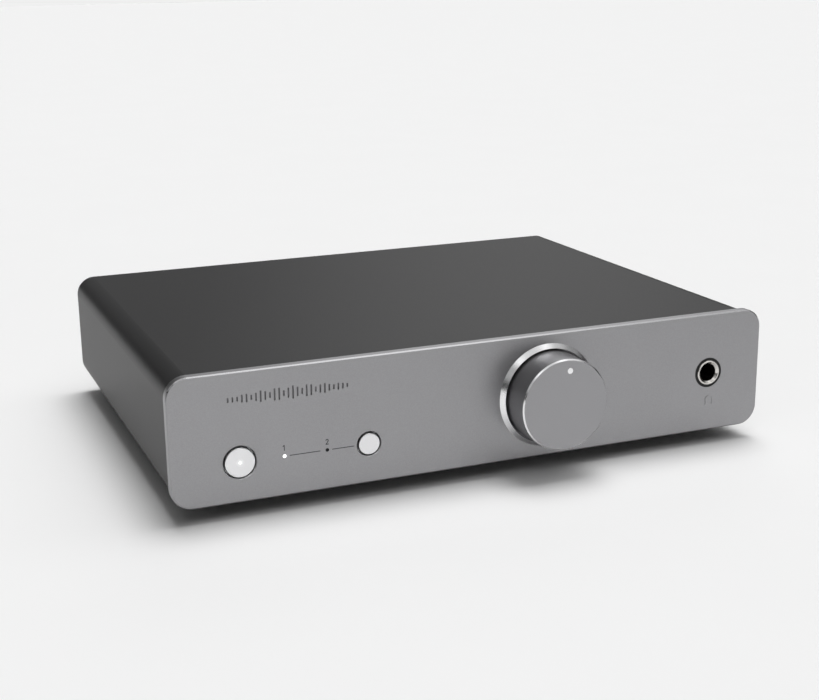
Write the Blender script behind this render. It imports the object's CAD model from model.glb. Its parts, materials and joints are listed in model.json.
"""Looks of the slim desktop headphone amplifier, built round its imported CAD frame.

Metres, in the frame's own axes: +Z up, the front faces -Y, +X to the right of someone facing the front.
"""
import bmesh
import bpy
import json
from math import cos, pi, radians, sin, tau
from mathutils import Matrix, Vector


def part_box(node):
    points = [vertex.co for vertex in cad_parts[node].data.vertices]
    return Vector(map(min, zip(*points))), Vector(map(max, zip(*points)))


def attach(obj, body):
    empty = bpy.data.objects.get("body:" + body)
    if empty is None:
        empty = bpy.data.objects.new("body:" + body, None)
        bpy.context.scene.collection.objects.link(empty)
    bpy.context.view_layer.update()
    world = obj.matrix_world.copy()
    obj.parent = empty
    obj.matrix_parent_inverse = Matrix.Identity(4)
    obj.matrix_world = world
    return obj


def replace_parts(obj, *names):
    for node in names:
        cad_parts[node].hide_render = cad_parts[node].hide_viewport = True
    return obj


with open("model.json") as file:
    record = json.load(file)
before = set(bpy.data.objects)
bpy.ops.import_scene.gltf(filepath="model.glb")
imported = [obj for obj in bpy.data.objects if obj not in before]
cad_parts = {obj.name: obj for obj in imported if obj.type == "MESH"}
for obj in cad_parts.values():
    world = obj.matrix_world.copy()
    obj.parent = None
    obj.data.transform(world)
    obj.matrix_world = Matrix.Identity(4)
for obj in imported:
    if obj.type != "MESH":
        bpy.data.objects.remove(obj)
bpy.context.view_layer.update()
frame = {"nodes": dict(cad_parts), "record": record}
NODES = frame["nodes"]
MM = 0.001


def centre_of(node):
    """Middle of a CAD node's box."""
    low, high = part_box(node)
    return (low + high) / 2


KNOB_CENTRE = centre_of("volume_knob")
POWER_CENTRE = centre_of("power_light_pipe")
PANEL_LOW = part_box("front_panel")[0]


# ------------------------------------------------------------------ material helpers
class Surface:
    """A Principled material whose nodes read the piece's own coordinates, in metres."""

    def __init__(self, name, colour, roughness, metallic=0.0, **constants):
        self.material = bpy.data.materials.new(name)
        self.material.use_nodes = True
        self.tree = self.material.node_tree
        self.shader = self.tree.nodes["Principled BSDF"]
        self.set(Base_Color=(*colour, 1.0), Roughness=roughness, Metallic=metallic, **constants)
        self.coordinates = self.add("ShaderNodeTexCoord").outputs["Object"]

    def set(self, **constants):
        """Give shader sockets constant values; an underscore stands for a space."""
        for key, value in constants.items():
            self.shader.inputs[key.replace("_", " ")].default_value = value

    def add(self, kind, **settings):
        """A new node; inputs named in settings get links or constants, the rest are its properties."""
        node = self.tree.nodes.new(kind)
        inputs = settings.pop("inputs", {})
        for key, value in settings.items():
            setattr(node, key, value)
        for key, value in inputs.items():
            if isinstance(value, bpy.types.NodeSocket):
                self.tree.links.new(value, node.inputs[key])
            else:
                node.inputs[key].default_value = value
        return node

    def link(self, output, socket):
        """Drive one of the shader's sockets."""
        self.tree.links.new(output, self.shader.inputs[socket])

    def math(self, operation, first, second=0.0, third=0.0):
        """One math node's result."""
        node = self.add("ShaderNodeMath", operation=operation)
        for index, value in enumerate((first, second, third)):
            if isinstance(value, bpy.types.NodeSocket):
                self.tree.links.new(value, node.inputs[index])
            else:
                node.inputs[index].default_value = value
        return node.outputs[0]

    def noise(self, size, detail=2.0, stretch=(1.0, 1.0, 1.0), roughness=0.5):
        """Noise from 0 to 1 whose features are about size metres across, stretched along the axes."""
        scaled = self.add(
            "ShaderNodeMapping",
            inputs={"Vector": self.coordinates, "Scale": [1.0 / s for s in stretch]},
        )
        inputs = {
            "Vector": scaled.outputs[0],
            "Scale": 1.0 / size,
            "Detail": detail,
            "Roughness": roughness,
        }
        return self.add("ShaderNodeTexNoise", inputs=inputs).outputs["Fac"]

    def spread(self, value, low, high, start=0.3, end=0.7):
        """Map a 0 to 1 pattern to a range."""
        inputs = {"Value": value, "From Min": start, "From Max": end, "To Min": low, "To Max": high}
        return self.add("ShaderNodeMapRange", inputs=inputs).outputs[0]

    def mix(self, factor, first, second):
        """Blend two colours by a factor."""
        node = self.add("ShaderNodeMix", data_type="RGBA")
        self.tree.links.new(factor, node.inputs["Factor"])
        for socket, value in (("A", first), ("B", second)):
            target = [s for s in node.inputs if s.name == socket and s.type == "RGBA"][0]
            if isinstance(value, bpy.types.NodeSocket):
                self.tree.links.new(value, target)
            else:
                target.default_value = (*value, 1.0)
        return [s for s in node.outputs if s.type == "RGBA"][0]

    def bump(self, height, depth):
        """Raise the surface by a 0 to 1 pattern, depth metres high."""
        node = self.add("ShaderNodeBump", inputs={"Height": height, "Distance": depth})
        self.link(node.outputs[0], "Normal")

    def facing(self, axis, target, width):
        """1 where the surface's own normal has that part along the axis, 0 elsewhere."""
        geometry = self.add("ShaderNodeNewGeometry").outputs["True Normal"]
        turned = self.add(
            "ShaderNodeVectorTransform",
            vector_type="NORMAL",
            convert_from="WORLD",
            convert_to="OBJECT",
            inputs={"Vector": geometry},
        )
        part = self.add("ShaderNodeSeparateXYZ", inputs={"Vector": turned.outputs[0]}).outputs[axis]
        return self.math("COMPARE", part, target, width)

    def axis_distance(self, centre):
        """Distance from the line through centre along Y, in metres."""
        offset = self.add(
            "ShaderNodeVectorMath",
            operation="SUBTRACT",
            inputs={0: self.coordinates, 1: tuple(centre)},
        )
        flat = self.add(
            "ShaderNodeVectorMath",
            operation="MULTIPLY",
            inputs={0: offset.outputs[0], 1: (1.0, 0.0, 1.0)},
        )
        length = self.add("ShaderNodeVectorMath", operation="LENGTH", inputs={0: flat.outputs[0]})
        return length.outputs["Value"]


def shade(colour, factor):
    """A colour made lighter or darker."""
    return tuple(min(1.0, c * factor) for c in colour)


def mottled(surface, colour, size, amount=0.08):
    """Give the surface a slightly uneven colour."""
    pattern = surface.spread(surface.noise(size, detail=3.0), 0.0, 1.0)
    uneven = surface.mix(pattern, shade(colour, 1 - amount), shade(colour, 1 + amount))
    surface.link(uneven, "Base Color")


# ------------------------------------------------------------------ materials
BEVEL_NORMAL = -0.707  # the part along Y of a front bevel's normal
GROOVE_START = 0.2 * MM  # the floors of the engraved bars lie deeper and are darker
BLAST_GRAIN = 0.3 * MM
BLAST_DEPTH = 0.0022 * MM


def blasted_aluminium(name, colour, roughness, polish, top_only=False):
    """Bead-blasted, grey anodised aluminium whose front bevels are cut bright."""
    surface = Surface(name, colour, roughness, metallic=1.0)
    grain = surface.noise(BLAST_GRAIN, detail=2.0, roughness=0.6)
    cloud = surface.noise(18 * MM, detail=2.0)
    tone = surface.spread(cloud, 0.0, 1.0)
    body = surface.mix(tone, shade(colour, 0.985), shade(colour, 1.015))
    sparkle = surface.spread(grain, 0.0, 1.0)
    body = surface.mix(sparkle, body, shade(colour, 1.14))
    bevel = surface.facing("Y", BEVEL_NORMAL, 0.25)
    if top_only:
        bevel = surface.math("MULTIPLY", bevel, surface.facing("Z", -BEVEL_NORMAL, 0.4))
    depth = surface.add("ShaderNodeSeparateXYZ", inputs={"Vector": surface.coordinates}).outputs["Y"]
    sunk = surface.math("GREATER_THAN", depth, PANEL_LOW.y + GROOVE_START)
    groove = surface.math("MULTIPLY", sunk, surface.facing("Y", -1.0, 0.1))
    body = surface.mix(groove, body, shade(colour, 0.5))
    surface.link(surface.mix(bevel, body, polish), "Base Color")
    matt = surface.spread(grain, roughness - 0.03, roughness + 0.03)
    shine = surface.math("MULTIPLY_ADD", bevel, 0.2 - roughness, matt)
    surface.link(shine, "Roughness")
    surface.bump(grain, BLAST_DEPTH)
    return surface.material


def panel_aluminium():
    """Front panel; only its upper bevel is cut bright."""
    colour, polish = (0.345, 0.343, 0.353), (0.52, 0.52, 0.53)
    return blasted_aluminium("panel_aluminium", colour, 0.42, polish, top_only=True)


def knob_aluminium():
    """Volume knob; its front bevel is cut bright all the way round."""
    colour, polish = (0.345, 0.343, 0.354), (0.85, 0.85, 0.86)
    return blasted_aluminium("knob_aluminium", colour, 0.42, polish)


def bright_aluminium():
    """Turned bright: fine rings round the knob's axis."""
    colour = (0.9, 0.9, 0.91)
    surface = Surface("bright_aluminium", colour, 0.2, metallic=1.0)
    distance = surface.axis_distance(KNOB_CENTRE)
    rings = surface.math("SINE", surface.math("MULTIPLY", distance, tau / (0.12 * MM)))
    uneven = surface.noise(2.5 * MM, detail=3.0)
    surface.link(surface.spread(uneven, 0.17, 0.23), "Roughness")
    surface.link(surface.mix(uneven, shade(colour, 0.96), colour), "Base Color")
    surface.bump(rings, 0.0006 * MM)
    return surface.material


def cover_metal():
    """Satin dark grey lacquer with a fine grain."""
    colour = (0.024, 0.024, 0.0245)
    surface = Surface("cover_metal", colour, 0.36, Specular_IOR_Level=0.12)
    grain = surface.noise(0.22 * MM, detail=2.0, roughness=0.6)
    cloud = surface.spread(surface.noise(30 * MM, detail=2.0), 0.0, 1.0)
    body = surface.mix(cloud, shade(colour, 0.98), shade(colour, 1.02))
    surface.link(surface.mix(surface.spread(grain, 0.0, 1.0), body, shade(colour, 1.08)), "Base Color")
    surface.link(surface.spread(grain, 0.33, 0.39), "Roughness")
    surface.bump(grain, 0.002 * MM)
    return surface.material


def coated(name, colour, roughness, size, depth, metallic=0.0, **constants):
    """A paint, plastic or rubber skin: uneven colour, uneven gloss and a moulded or sprayed texture."""
    surface = Surface(name, colour, roughness, metallic, **constants)
    mottled(surface, colour, 12 * size)
    texture = surface.noise(size, detail=3.0, roughness=0.6)
    surface.link(surface.spread(texture, roughness - 0.06, roughness + 0.06), "Roughness")
    surface.bump(texture, depth)
    return surface.material


def plated(name, colour, roughness, draw=(1.0, 1.0, 1.0)):
    """Plated or machined metal with fine tool marks, drawn out along an axis."""
    surface = Surface(name, colour, roughness, metallic=1.0)
    marks = surface.noise(0.12 * MM, detail=3.0, stretch=draw)
    blotch = surface.noise(3 * MM, detail=3.0)
    surface.link(surface.mix(surface.spread(blotch, 0.0, 1.0), shade(colour, 0.9), colour), "Base Color")
    surface.link(surface.spread(marks, roughness - 0.06, roughness + 0.08), "Roughness")
    surface.bump(marks, 0.002 * MM)
    return surface.material


def chassis_steel():
    return coated("chassis_steel", (0.028, 0.028, 0.03), 0.5, 0.35 * MM, 0.012 * MM)


def button_silver():
    """Satin silver caps; light from the pipe spreads a little way into the cap round it."""
    colour = (0.9, 0.9, 0.91)
    surface = Surface("button_silver", colour, 0.38, metallic=1.0)
    grain = surface.noise(0.15 * MM, detail=2.0)
    surface.link(surface.mix(grain, shade(colour, 0.97), colour), "Base Color")
    surface.link(surface.spread(grain, 0.34, 0.42), "Roughness")
    surface.bump(grain, 0.0015 * MM)
    glow = surface.spread(surface.axis_distance(POWER_CENTRE), 0.1, 0.0, 0.6 * MM, 1.5 * MM)
    surface.set(Emission_Color=(1.0, 1.0, 1.0, 1.0))
    surface.link(glow, "Emission Strength")
    return surface.material


def light_white():
    """Lit light pipe, brightest in the middle of its end."""
    surface = Surface("light_white", (0.9, 0.9, 0.9), 0.25, Emission_Color=(1.0, 1.0, 1.0, 1.0))
    surface.link(surface.spread(surface.noise(0.5 * MM), 1.1, 1.4), "Emission Strength")
    return surface.material


def light_pipe():
    """Clear rod in the power button, lit only along its middle."""
    surface = Surface("light_pipe", (0.85, 0.85, 0.86), 0.3, Emission_Color=(1.0, 1.0, 1.0, 1.0))
    haze = surface.noise(0.4 * MM)
    middle = surface.spread(surface.axis_distance(POWER_CENTRE), 2.2, 0.1, 0.15 * MM, 0.6 * MM)
    surface.link(surface.math("MULTIPLY_ADD", haze, 0.05, middle), "Emission Strength")
    return surface.material


def lens_smoke():
    colour = (0.008, 0.008, 0.009)
    return coated("lens_smoke", colour, 0.3, 0.4 * MM, 0.001 * MM, Specular_IOR_Level=0.25)


def print_dark():
    return coated("print_dark", (0.045, 0.045, 0.048), 0.6, 0.12 * MM, 0.004 * MM)


def mark_white():
    return coated("mark_white", (0.82, 0.82, 0.81), 0.45, 0.2 * MM, 0.004 * MM)


def black_plastic():
    colour = (0.009, 0.009, 0.0095)
    return coated("black_plastic", colour, 0.4, 0.3 * MM, 0.008 * MM, Specular_IOR_Level=0.3)


def foot_rubber():
    return coated("foot_rubber", (0.018, 0.018, 0.018), 0.78, 0.4 * MM, 0.02 * MM)


def nickel():
    return plated("nickel", (0.72, 0.70, 0.67), 0.2, draw=(1.0, 0.2, 1.0))


def zinc_steel():
    return plated("zinc_steel", (0.56, 0.57, 0.58), 0.34)


def black_screw():
    return plated("black_screw", (0.045, 0.045, 0.047), 0.36)


def brass():
    return plated("brass", (0.74, 0.55, 0.26), 0.26)


def contact_gold():
    return plated("contact_gold", (0.88, 0.66, 0.28), 0.18)


def board_green():
    """Solder resist over copper tracks on glass fibre."""
    resist = (0.012, 0.09, 0.04)
    surface = Surface("board_green", resist, 0.35, Coat_Weight=0.3)
    tracks = surface.add(
        "ShaderNodeTexBrick",
        offset=0.35,
        inputs={
            "Vector": surface.coordinates,
            "Scale": 1.0,
            "Mortar Size": 0.18 * MM,
            "Brick Width": 9 * MM,
            "Row Height": 1.6 * MM,
        },
    ).outputs["Fac"]
    surface.link(surface.mix(tracks, resist, (0.03, 0.17, 0.07)), "Base Color")
    weave = surface.noise(0.5 * MM, detail=1.0)
    raised = surface.math("MULTIPLY_ADD", weave, 0.2, tracks)
    surface.bump(raised, 0.03 * MM)
    surface.link(surface.spread(weave, 0.3, 0.42), "Roughness")
    return surface.material


def striped(name, colour, axis, pitch, depth, roughness, contrast=0.8):
    """A skin with regular grooves across one axis."""
    surface = Surface(name, colour, roughness)
    along = surface.add("ShaderNodeSeparateXYZ", inputs={"Vector": surface.coordinates}).outputs[axis]
    wave = surface.math("SINE", surface.math("MULTIPLY", along, tau / pitch))
    groove = surface.spread(wave, 0.0, 1.0, -1.0, 1.0)
    surface.link(surface.mix(groove, shade(colour, contrast), colour), "Base Color")
    fine = surface.noise(0.3 * MM)
    surface.link(surface.spread(fine, roughness - 0.05, roughness + 0.05), "Roughness")
    surface.bump(groove, depth)
    return surface.material


def ribbon_grey():
    return striped("ribbon_grey", (0.5, 0.51, 0.52), "X", 1.27 * MM, 0.25 * MM, 0.5)


def lead_red():
    return coated("lead_red", (0.42, 0.02, 0.015), 0.4, 0.5 * MM, 0.004 * MM)


def fuse_glass():
    surface = Surface("fuse_glass", (0.9, 0.95, 0.95), 0.05, Transmission_Weight=0.7, IOR=1.5)
    smear = surface.noise(2 * MM, detail=3.0)
    surface.link(surface.spread(smear, 0.03, 0.12), "Roughness")
    return surface.material


def ferrite():
    return coated("ferrite", (0.035, 0.033, 0.033), 0.6, 0.25 * MM, 0.015 * MM)


def winding_tape():
    return striped("winding_tape", (0.72, 0.5, 0.05), "Z", 4.5 * MM, 0.08 * MM, 0.3, contrast=0.75)


def capacitor_sleeve():
    """Dark shrunk sleeve; the can shows bare at its top."""
    sleeve = (0.012, 0.016, 0.045)
    surface = Surface("capacitor_sleeve", sleeve, 0.28)
    top = surface.facing("Z", 1.0, 0.1)
    shrink = surface.noise(1.5 * MM, detail=3.0)
    skin = surface.mix(shrink, sleeve, shade(sleeve, 1.6))
    surface.link(surface.mix(top, skin, (0.7, 0.7, 0.72)), "Base Color")
    surface.link(top, "Metallic")
    surface.link(surface.spread(shrink, 0.22, 0.36), "Roughness")
    surface.bump(shrink, 0.02 * MM)
    return surface.material


def relay_case():
    return coated("relay_case", (0.7, 0.66, 0.52), 0.4, 0.5 * MM, 0.006 * MM)


def heatsink_black():
    return coated("heatsink_black", (0.02, 0.02, 0.022), 0.4, 0.15 * MM, 0.006 * MM, metallic=0.6)


def socket_red():
    return coated("socket_red", (0.5, 0.012, 0.012), 0.3, 0.4 * MM, 0.003 * MM)


def socket_white():
    return coated("socket_white", (0.8, 0.8, 0.77), 0.3, 0.4 * MM, 0.003 * MM)


MATERIALS = {
    make.__name__: make()
    for make in (
        panel_aluminium, knob_aluminium, bright_aluminium, cover_metal, chassis_steel,
        button_silver, light_white, lens_smoke, print_dark, mark_white, black_plastic,
        foot_rubber, nickel, zinc_steel, black_screw, brass, contact_gold, board_green,
        ribbon_grey, lead_red, fuse_glass, ferrite, winding_tape, capacitor_sleeve,
        relay_case, heatsink_black, socket_red, socket_white,
    )
}


def dress(node, material):
    """Give a CAD node one material."""
    slots = NODES[node].data.materials
    slots.clear()
    slots.append(material)


for subpart in frame["record"]["subparts"]:
    dress(subpart["node"], MATERIALS[subpart["material_slot"]])
dress("power_light_pipe", light_pipe())


# ------------------------------------------------------------------ pieces that only the looks have
SHARP_ANGLE = radians(30)  # edges sharper than this stay crisp


def mesh_object(name, points, faces, slot, body="chassis"):
    """A new piece in the frame's own axes that rides a body."""
    mesh = bpy.data.meshes.new(name)
    mesh.from_pydata([tuple(point) for point in points], [], faces)
    mesh.validate()
    skin = bmesh.new()
    skin.from_mesh(mesh)
    bmesh.ops.recalc_face_normals(skin, faces=skin.faces)
    skin.to_mesh(mesh)
    skin.free()
    mesh.shade_smooth()
    mesh.set_sharp_from_angle(angle=SHARP_ANGLE)
    piece = bpy.data.objects.new(name, mesh)
    bpy.context.scene.collection.objects.link(piece)
    mesh.materials.append(MATERIALS[slot])
    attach(piece, body)
    return piece


def round_points(x, z, depth, radius_at, segments):
    """Points of one turn round an axis along Y; radius_at gives the radius at an angle."""
    points = []
    for step in range(segments):
        angle = tau * step / segments
        radius = radius_at(angle)
        points.append((x + radius * sin(angle), depth, z + radius * cos(angle)))
    return points


def band(first, second, segments):
    """Faces between two turns of points, given by the index of each one's first point."""
    faces = []
    for step in range(segments):
        following = (step + 1) % segments
        faces.append((first + step, first + following, second + following, second + step))
    return faces


def lathe(rows, segments, x, z):
    """Closed skin round an axis along Y; every row is a depth and a function of the angle to radius."""
    points = []
    faces = []
    for depth, radius_at in rows:
        points += round_points(x, z, depth, radius_at, segments)
    last = (len(rows) - 1) * segments
    for first in range(0, last, segments):
        faces += band(first, first + segments, segments)
    faces.append(tuple(reversed(range(segments))))
    faces.append(tuple(range(last, last + segments)))
    return points, faces


# ground post with a real thread, in the place of its plain stand-in
THREAD_PITCH = 0.7 * MM
THREAD_DEPTH = 0.36 * MM
THREAD_SLOPE = 2.4  # how fast the thread falls off; above 2 its root is flat
THREAD_ROWS = 8  # rows of faces in one turn of the thread
POST_RADIUS = 2.0 * MM
POST_SEGMENTS = 40
COLLAR_RADIUS = 4.5 * MM
COLLAR_THICKNESS = 2 * MM
TIP_LENGTH = 0.5 * MM  # the thread runs out over this length
TIP_TAPER = 0.4 * MM
TIP_ROUND = 0.75 * MM


def threaded_post():
    """Stud with a flange behind the panel and a helical thread from there to its tip."""
    low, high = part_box("ground_post")
    washer = centre_of("ground_washer")
    start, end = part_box("rear_panel")[0].y, high.y
    rows = [
        (low.y, lambda angle: POST_RADIUS),
        (start - COLLAR_THICKNESS, lambda angle: POST_RADIUS),
        (start - COLLAR_THICKNESS, lambda angle: COLLAR_RADIUS),
        (start, lambda angle: COLLAR_RADIUS),
        (start, lambda angle: POST_RADIUS),
    ]

    def thread(depth):
        """Radius round the stud at a depth, as a function of the angle."""
        run_out = 1 - min(1.0, (end - depth) / TIP_LENGTH)

        def radius(angle):
            phase = (depth / THREAD_PITCH + angle / tau) % 1.0
            cut = THREAD_DEPTH * min(1.0, THREAD_SLOPE * abs(phase - 0.5))
            return POST_RADIUS - cut - TIP_TAPER * run_out

        return radius

    step = THREAD_PITCH / THREAD_ROWS
    for index in range(1, int((end - start) / step)):
        depth = start + index * step
        rows.append((depth, thread(depth)))
    rows.append((end, lambda angle: POST_RADIUS - TIP_ROUND))
    points, faces = lathe(rows, POST_SEGMENTS, washer.x, washer.z)
    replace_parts(mesh_object("ground_post_threaded", points, faces, "nickel"), "ground_post")


threaded_post()


# nut on the bushing of the balance control
NUT_BORE = 3.42 * MM
NUT_RADIUS = 5.6 * MM  # to its corners
NUT_THICKNESS = 2.2 * MM
NUT_CHAMFER = 0.3 * MM
NUT_SEGMENTS = 48


def hexagon_nut():
    """Thin nut with its front corners chamfered, on the outside of the rear panel."""
    centre = centre_of("balance_knob")
    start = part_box("rear_panel")[1].y
    end = start + NUT_THICKNESS

    def hexagon(grow):
        """Radius round the nut's outline, as a function of the angle."""

        def radius(angle):
            return NUT_RADIUS * cos(pi / 6) / cos((angle + pi / 6) % (pi / 3) - pi / 6) + grow

        return radius

    def bore(angle):
        return NUT_BORE

    rows = (
        (start, hexagon(0.0)),
        (end - NUT_CHAMFER, hexagon(0.0)),
        (end, hexagon(-NUT_CHAMFER)),
        (end, bore),
        (start, bore),
    )
    points = []
    faces = []
    for row, (depth, radius_at) in enumerate(rows):
        points += round_points(centre.x, centre.z, depth, radius_at, NUT_SEGMENTS)
        following = (row + 1) % len(rows)
        faces += band(row * NUT_SEGMENTS, following * NUT_SEGMENTS, NUT_SEGMENTS)
    mesh_object("balance_nut", points, faces, "zinc_steel")


hexagon_nut()


# white print on the rear panel: frames round the sockets, a scale and plain symbols
PRINT_WIDTH = 0.35 * MM
PRINT_THICKNESS = 0.03 * MM
# places on the rear panel in millimetres: x and z of low and high corners, or of a middle
INPUT_FRAME = (49.5, 15.6, 86.5, 44.0)
OUTPUT_FRAME = (5.5, 15.6, 22.5, 44.0)
INLET_FRAME = (-93.5, 16.5, -66.5, 37.5)
FRAME_CORNER = 2.0
DIVIDER_X = 68.0  # between the two pairs of inputs
DIVIDER_MARGIN = 2.0
INPUT_COLUMNS = (58.0, 78.0)
OUTPUT_COLUMN = 14.0
ARROW_Z = 29.5
ARROW_REACH = 1.5
ARROW_BARB = (0.9, 1.1)
DIAL_AT = (36.0, 24.0)
DIAL_STEP = 28  # degrees from one tick to the next
DIAL_TICKS = 5  # to each side of the middle one
DIAL_INNER = 6.8
DIAL_OUTER = 7.9
DIAL_MIDDLE_OUTER = 8.6
SWITCH_Z = 22.0
SWITCH_OFF_X = -54.5
SWITCH_ON_X = -41.2
SWITCH_MARK = 1.1
EARTH_X = 96.0
EARTH_STEM = (30.6, 33.0)
EARTH_BARS = (1.8, 1.15, 0.5)  # half lengths, from the top down
EARTH_PITCH = 0.8
BOX_QUADS = ((0, 1, 2, 3), (7, 6, 5, 4), (0, 4, 5, 1), (1, 5, 6, 2), (2, 6, 7, 3), (3, 7, 4, 0))


class Print:
    """Thin raised strips on the outside of the rear panel, gathered into one piece."""

    def __init__(self):
        self.points = []
        self.faces = []
        self.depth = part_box("rear_panel")[1].y

    def line(self, x_from, z_from, x_to, z_to):
        """A straight strip, given in millimetres."""
        start, end = Vector((x_from, z_from)) * MM, Vector((x_to, z_to)) * MM
        along = (end - start).normalized()
        side = Vector((-along.y, along.x)) * PRINT_WIDTH / 2
        first = len(self.points)
        for depth in (self.depth, self.depth + PRINT_THICKNESS):
            for corner in (start - side, end - side, end + side, start + side):
                self.points.append((corner.x, depth, corner.y))
        for quad in BOX_QUADS:
            self.faces.append(tuple(first + index for index in quad))

    def ring(self, x, z, radius, start=0.0, turn=360.0, steps=24):
        """An arc of short strips round a point."""
        for step in range(steps):
            a = radians(start + turn * step / steps)
            b = radians(start + turn * (step + 1) / steps)
            self.line(x + radius * sin(a), z + radius * cos(a), x + radius * sin(b), z + radius * cos(b))

    def frame(self, x_low, z_low, x_high, z_high):
        """A rectangle with rounded corners."""
        corner = FRAME_CORNER
        self.line(x_low + corner, z_low, x_high - corner, z_low)
        self.line(x_low + corner, z_high, x_high - corner, z_high)
        self.line(x_low, z_low + corner, x_low, z_high - corner)
        self.line(x_high, z_low + corner, x_high, z_high - corner)
        self.ring(x_high - corner, z_high - corner, corner, 0, 90, 6)
        self.ring(x_high - corner, z_low + corner, corner, 90, 90, 6)
        self.ring(x_low + corner, z_low + corner, corner, 180, 90, 6)
        self.ring(x_low + corner, z_high - corner, corner, 270, 90, 6)


def rear_print():
    """Frames, arrows, a scale and plain symbols, all in one piece."""
    marks = Print()
    marks.frame(*INPUT_FRAME)
    marks.frame(*OUTPUT_FRAME)
    marks.line(DIVIDER_X, INPUT_FRAME[1] + DIVIDER_MARGIN, DIVIDER_X, INPUT_FRAME[3] - DIVIDER_MARGIN)
    # arrows: into the inputs, out of the output
    side, back = ARROW_BARB
    for x, upward in ((INPUT_COLUMNS[0], -1), (INPUT_COLUMNS[1], -1), (OUTPUT_COLUMN, 1)):
        tip = ARROW_Z + upward * ARROW_REACH
        marks.line(x, ARROW_Z - upward * ARROW_REACH, x, tip)
        marks.line(x, tip, x - side, tip - upward * back)
        marks.line(x, tip, x + side, tip - upward * back)
    # scale round the balance control
    x, z = DIAL_AT
    for tick in range(-DIAL_TICKS, DIAL_TICKS + 1):
        angle = radians(tick * DIAL_STEP)
        across, up = sin(angle), cos(angle)
        outer = DIAL_MIDDLE_OUTER if tick == 0 else DIAL_OUTER
        marks.line(x + DIAL_INNER * across, z + DIAL_INNER * up, x + outer * across, z + outer * up)
    # off and on at the ends of the slide switch
    marks.ring(SWITCH_OFF_X, SWITCH_Z, SWITCH_MARK, steps=16)
    marks.line(SWITCH_ON_X, SWITCH_Z - SWITCH_MARK, SWITCH_ON_X, SWITCH_Z + SWITCH_MARK)
    # earth symbol over the ground post
    foot, top = EARTH_STEM
    marks.line(EARTH_X, foot, EARTH_X, top)
    for level, half in enumerate(EARTH_BARS):
        z = foot - level * EARTH_PITCH
        marks.line(EARTH_X - half, z, EARTH_X + half, z)
    marks.frame(*INLET_FRAME)
    mesh_object("rear_print", marks.points, marks.faces, "mark_white")


rear_print()


# ------------------------------------------------------------------ studio
FLOOR_SIZE = 12.0
FLOOR_COLOUR = (0.9, 0.9, 0.9)
BACKDROP = 0.871  # what the lit floor shows, so that it meets the backdrop without a line
LIGHT_CORE = 0.3  # share of a light's radius that is evenly bright


def direction(azimuth, elevation):
    """Unit vector; azimuth 0 is +X and 90 is +Y, elevation is above the horizon, in degrees."""
    flat = cos(radians(elevation))
    a = radians(azimuth)
    return Vector((flat * cos(a), flat * sin(a), sin(radians(elevation))))


# soft lights: azimuth, elevation, radius of the disc in degrees, brightness
SOFT_LIGHTS = (
    (47.0, 79.0, 20.0, 8.1),
    (50.0, 70.0, 24.0, 1.6),
    (0.0, 90.0, 12.0, 2.0),
    (0.0, 90.0, 26.0, 0.4),
    (0.0, 55.0, 24.0, 1.0),
    (240.0, 55.0, 22.0, 0.8),
    (300.0, 57.0, 22.0, 0.8),
    (228.0, 46.0, 14.0, 0.55),
    (320.0, 64.0, 11.0, 0.6),
    (0.0, 28.0, 20.0, 0.29),
    (62.0, 28.0, 20.0, 1.35),
    (212.0, 28.0, 20.0, 0.5),
    (90.0, 7.0, 16.0, 0.4),
    (270.0, 9.0, 16.0, 1.8),
)
LIGHT_LEVEL = 0.965  # of all the soft lights together
AMBIENT = 0.005


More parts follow.
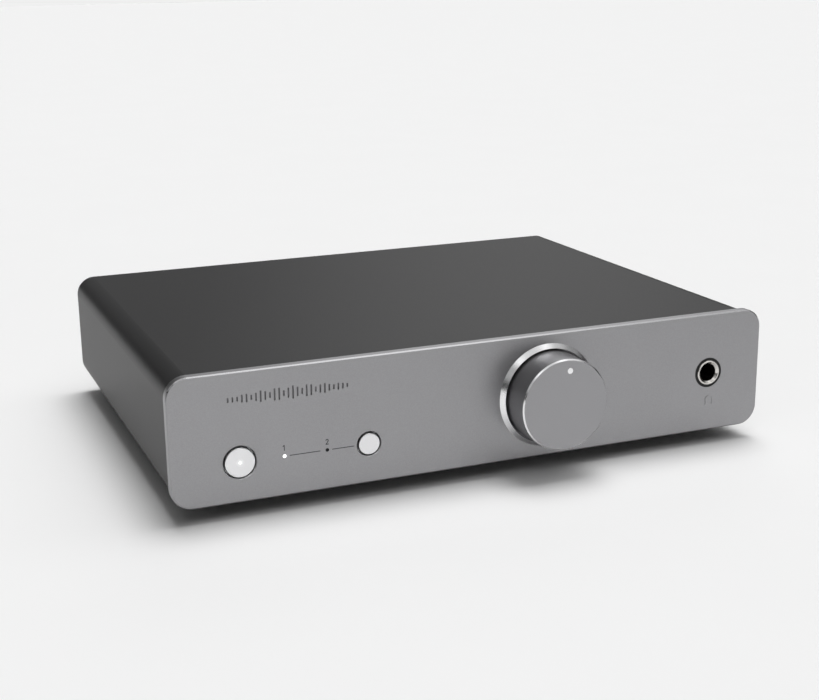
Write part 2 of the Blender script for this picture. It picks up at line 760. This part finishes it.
def studio_world():
    """Dim room with large soft lights far away; the camera itself sees the pale backdrop."""
    world = bpy.data.worlds.new("studio")
    bpy.context.scene.world = world
    world.use_nodes = True
    nodes, links = world.node_tree.nodes, world.node_tree.links
    ray = nodes.new("ShaderNodeTexCoord").outputs["Generated"]
    total = None
    for azimuth, elevation, radius, strength in SOFT_LIGHTS:
        dot = nodes.new("ShaderNodeVectorMath")
        dot.operation = "DOT_PRODUCT"
        links.new(ray, dot.inputs[0])
        dot.inputs[1].default_value = direction(azimuth, elevation)
        edge = nodes.new("ShaderNodeMapRange")
        edge.interpolation_type = "SMOOTHSTEP"
        links.new(dot.outputs["Value"], edge.inputs["Value"])
        edge.inputs["From Min"].default_value = cos(radians(radius))
        edge.inputs["From Max"].default_value = cos(radians(radius * LIGHT_CORE))
        edge.inputs["To Max"].default_value = strength * LIGHT_LEVEL
        if total is None:
            total = edge.outputs[0]
            continue
        added = nodes.new("ShaderNodeMath")
        links.new(total, added.inputs[0])
        links.new(edge.outputs[0], added.inputs[1])
        total = added.outputs[0]
    room = nodes.new("ShaderNodeMath")
    links.new(total, room.inputs[0])
    room.inputs[1].default_value = AMBIENT
    chosen = nodes.new("ShaderNodeMix")
    path = nodes.new("ShaderNodeLightPath")
    links.new(path.outputs["Is Camera Ray"], chosen.inputs["Factor"])
    links.new(room.outputs[0], chosen.inputs["A"])
    chosen.inputs["B"].default_value = BACKDROP
    links.new(chosen.outputs["Result"], nodes["Background"].inputs["Strength"])
    nodes["Background"].inputs["Color"].default_value = (1.0, 1.0, 1.0, 1.0)


def pale_floor():
    """Plain pale floor under the feet."""
    mesh = bpy.data.meshes.new("studio_floor")
    half = FLOOR_SIZE / 2
    corners = [(-half, -half, 0), (half, -half, 0), (half, half, 0), (-half, half, 0)]
    mesh.from_pydata(corners, [], [(0, 1, 2, 3)])
    floor = bpy.data.objects.new("studio_floor", mesh)
    bpy.context.scene.collection.objects.link(floor)
    surface = Surface("floor_paper", FLOOR_COLOUR, 0.9, Specular_IOR_Level=0.0)
    mottled(surface, FLOOR_COLOUR, 60 * MM, amount=0.003)
    mesh.materials.append(surface.material)


CAMERA_AT = Vector((-191.94, -483.24, 168.43)) * MM
CAMERA_YAW = radians(22.182)
CAMERA_PITCH = radians(15.452)
CAMERA_ROLL = radians(-0.724)
CAMERA_LENS = 61.85  # on a sensor 36 mm wide


def studio_camera():
    """Seen from the front left, a little above the top."""
    camera = bpy.data.objects.new("camera", bpy.data.cameras.new("camera"))
    bpy.context.scene.collection.objects.link(camera)
    bpy.context.scene.camera = camera
    camera.data.lens = CAMERA_LENS
    camera.data.sensor_width = 36.0
    camera.data.clip_start = 0.01
    camera.location = CAMERA_AT
    turned = Matrix.Rotation(-CAMERA_YAW, 4, "Z") @ Matrix.Rotation(pi / 2 - CAMERA_PITCH, 4, "X")
    camera.matrix_world = Matrix.Translation(CAMERA_AT) @ turned @ Matrix.Rotation(CAMERA_ROLL, 4, "Z")


studio_world()
pale_floor()
studio_camera()
bpy.context.scene.view_settings.view_transform = "Standard"
